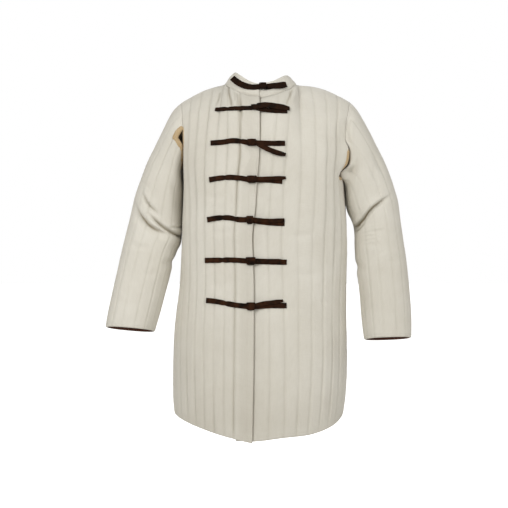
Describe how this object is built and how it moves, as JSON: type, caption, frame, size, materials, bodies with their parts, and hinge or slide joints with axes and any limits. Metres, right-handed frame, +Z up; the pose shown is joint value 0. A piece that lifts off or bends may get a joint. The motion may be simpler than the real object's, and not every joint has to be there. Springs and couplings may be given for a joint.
{
  "type": "gambeson",
  "caption": "Thigh-length quilted padded coat with a stand collar, long sleeves, open bound armpits and leather ties down an overlapped front, held in its worn form.",
  "frame": {"origin": "middle of the neck opening, at the height of the two points where the shoulder seams meet the collar; the wearer's neck and shoulders hold the coat up there", "axes": "+Z up along the standing wearer; +X toward the wearer's left hand; -Y is the front, where the coat closes"},
  "size_m": [0.8196, 0.2995, 0.9903],
  "materials": {
    "canvas": "unbleached cotton canvas over wadding, matt",
    "binding": "tan cotton binding tape, matt",
    "leather": "dark brown soft leather, low sheen"
  },
  "bodies": {
    "root": {"front_right": "canvas", "front_left": "canvas", "back": "canvas", "sleeve_right": "canvas", "sleeve_left": "canvas", "collar": "canvas", "armhole_binding_right": "binding", "armhole_binding_left": "binding", "sleeve_binding_right": "binding", "sleeve_binding_left": "binding", "tie_1_right": "leather", "tie_1_left": "leather", "tie_1_tail": "leather", "tie_1_knot": "leather", "tie_2_right": "leather", "tie_2_left": "leather", "tie_2_tail": "leather", "tie_2_knot": "leather", "tie_3_right": "leather", "tie_3_left": "leather", "tie_3_tail": "leather", "tie_3_knot": "leather", "tie_4_right": "leather", "tie_4_left": "leather", "tie_4_tail": "leather", "tie_4_knot": "leather", "tie_5_right": "leather", "tie_5_left": "leather", "tie_5_tail": "leather", "tie_5_knot": "leather", "tie_6_right": "leather", "tie_6_left": "leather", "tie_6_tail": "leather", "tie_6_knot": "leather", "tie_7_right": "leather", "tie_7_left": "leather", "tie_7_tail": "leather", "tie_7_knot": "leather"}
  },
  "joints": []
}
